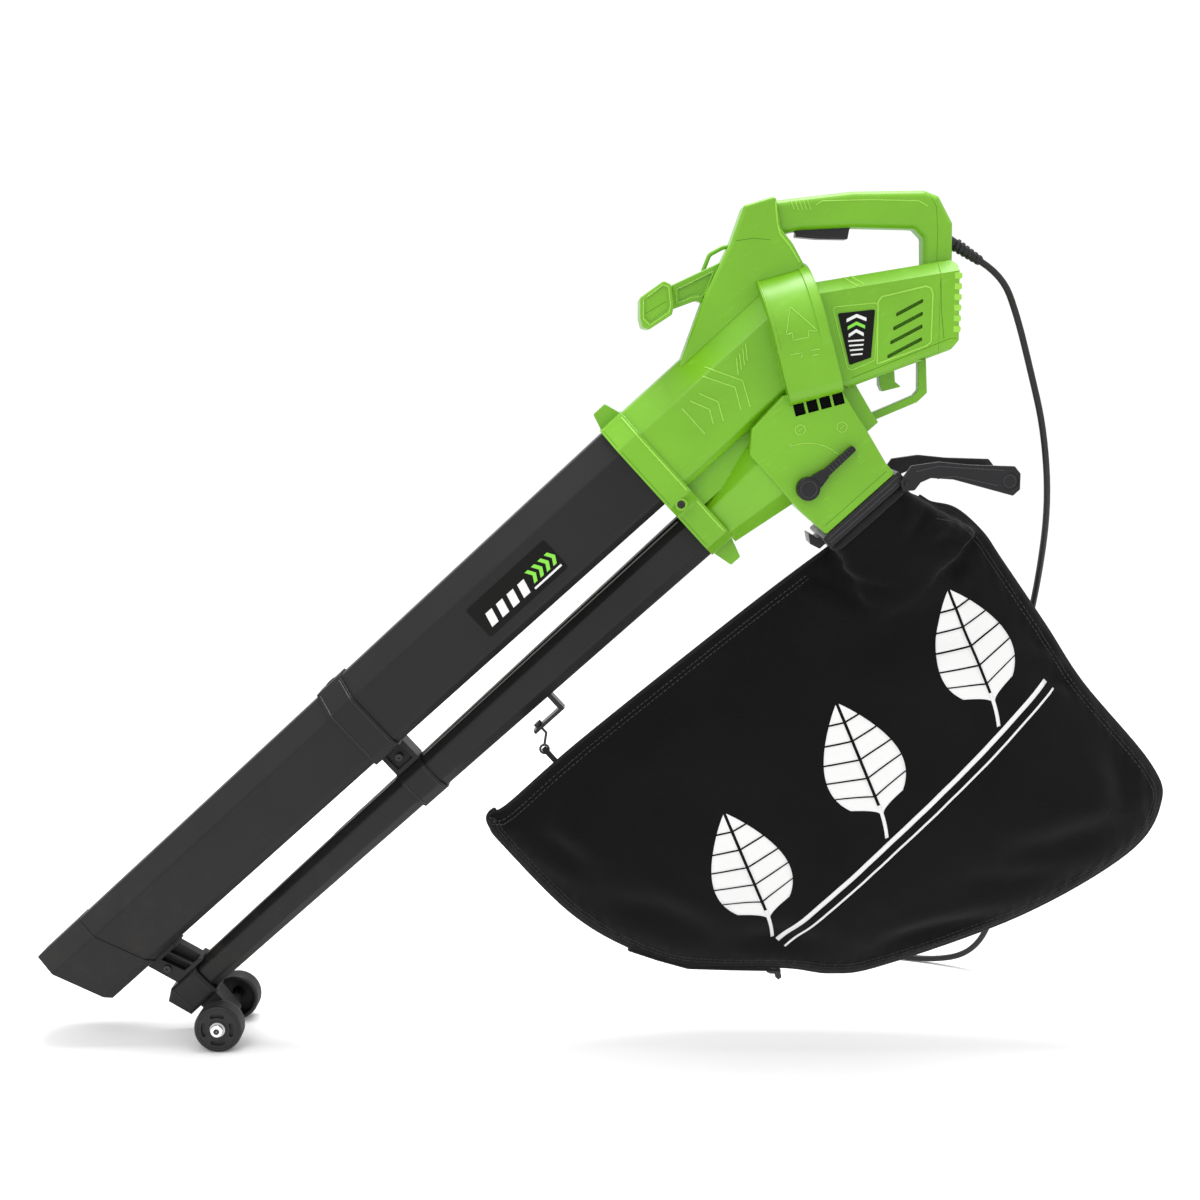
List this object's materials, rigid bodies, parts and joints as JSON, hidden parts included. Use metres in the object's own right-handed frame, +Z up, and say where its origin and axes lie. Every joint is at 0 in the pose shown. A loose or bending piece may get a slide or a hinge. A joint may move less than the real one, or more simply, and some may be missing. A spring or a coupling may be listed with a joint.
{
  "type": "leaf vacuum mulcher",
  "caption": "Handheld electric leaf vacuum and blower: twin slanted tubes with wheels, fan and motor casing, D-shaped grip, front handle, cloth leaf bag and mains lead.",
  "frame": {"origin": "middle of the main grip, where the hand holds the machine", "axes": "+X back towards the user, +Z up, the machine about symmetric across Y = 0, its near side at -Y"},
  "size_m": [1.2171, 0.447, 0.9059],
  "materials": {
    "green_plastic": "satin",
    "grip_plastic": "satin",
    "tube_plastic": "satin",
    "wheel_plastic": "satin",
    "dark_plastic": "satin",
    "inner_plastic": "matte",
    "fan_alloy": "satin",
    "steel": "satin",
    "chrome": "polished",
    "label": "gloss",
    "bag_cloth": "matte",
    "webbing": "matte",
    "zip": "matte",
    "cord_rubber": "satin"
  },
  "bodies": {
    "root": {"axle": "steel", "axle_nuts": "chrome", "bag_collar": "dark_plastic", "bag_hook": "steel", "bag_zip": "zip", "bearing_plate": "fan_alloy", "bearings": "steel", "blow_tube_lower": "tube_plastic", "blow_tube_upper": "tube_plastic", "brush_holders": "inner_plastic", "capacitor": "inner_plastic", "cord_boot": "cord_rubber", "cord_clamp": "inner_plastic", "cord_coil": "cord_rubber", "cord_tie": "cord_rubber", "front_casing_far": "green_plastic", "front_casing_near": "green_plastic", "front_handle_bar": "green_plastic", "front_handle_stem": "green_plastic", "grip_far": "grip_plastic", "grip_near": "grip_plastic", "hook_bracket": "dark_plastic", "joint_collar": "tube_plastic", "label_plates": "label", "leaf_bag": "bag_cloth", "lower_bridge": "tube_plastic", "motor_housing_far": "green_plastic", "motor_housing_near": "green_plastic", "nozzle": "tube_plastic", "plug": "cord_rubber", "plug_pins": "chrome", "power_cord": "cord_rubber", "rear_bearing_bracket": "inner_plastic", "rear_loop": "green_plastic", "rear_vent_cap": "green_plastic", "screws": "steel", "spine_far": "green_plastic", "spine_near": "green_plastic", "stator": "steel", "strap_eye": "green_plastic", "suction_tube_lower": "tube_plastic", "suction_tube_upper": "tube_plastic", "switch_body": "inner_plastic", "terminal_block": "inner_plastic", "webbing_loop": "webbing", "wheel_foot": "tube_plastic"},
    "trigger_body": {"trigger": "dark_plastic"},
    "plunger_body": {"switch_plunger": "inner_plastic"},
    "selector": {"mode_lever": "dark_plastic", "mode_shaft": "steel", "air_flap": "inner_plastic"},
    "near_wheel": {"wheel_near": "wheel_plastic"},
    "far_wheel": {"wheel_far": "wheel_plastic"},
    "rotor": {"motor_shaft": "steel", "impeller": "fan_alloy", "impeller_nut": "steel", "cooling_fan": "inner_plastic", "armature": "steel"},
    "lever": {"bag_lever": "dark_plastic", "lever_bar": "dark_plastic"}
  },
  "joints": [
    {"name": "trigger_squeeze", "type": "hinge", "parent": "root", "child": "trigger_body", "pos_m": [-0.06, 0, -0.012], "axis": [0, -1, 0], "range_deg": [0, 5], "stiffness_Nm_per_rad": 2, "springref_deg": -1.72},
    {"name": "plunger_slide", "type": "slide", "parent": "root", "child": "plunger_body", "axis": [0, 0, 1], "range_m": [0, 0.00265]},
    {"name": "mode_turn", "type": "hinge", "parent": "root", "child": "selector", "pos_m": [-0.05232, 0, -0.27934], "axis": [0, -1, 0], "range_deg": [0, 80]},
    {"name": "near_wheel_spin", "type": "hinge", "parent": "root", "child": "near_wheel", "pos_m": [-0.67327, 0, -0.85988], "axis": [0, 1, 0], "continuous": true},
    {"name": "far_wheel_spin", "type": "hinge", "parent": "root", "child": "far_wheel", "pos_m": [-0.67327, 0, -0.85988], "axis": [0, 1, 0], "continuous": true},
    {"name": "rotor_spin", "type": "hinge", "parent": "root", "child": "rotor", "pos_m": [-0.062, 0, -0.127], "axis": [0.9659, 0, 0.2588], "continuous": true},
    {"name": "lever_lift", "type": "hinge", "parent": "root", "child": "lever", "pos_m": [0.0478, 0, -0.274], "axis": [0, -1, 0], "range_deg": [0, 50]}
  ],
  "couplings": [
    {"joint": "plunger_slide", "follows": "trigger_squeeze", "m_per_rad": 0.03}
  ]
}
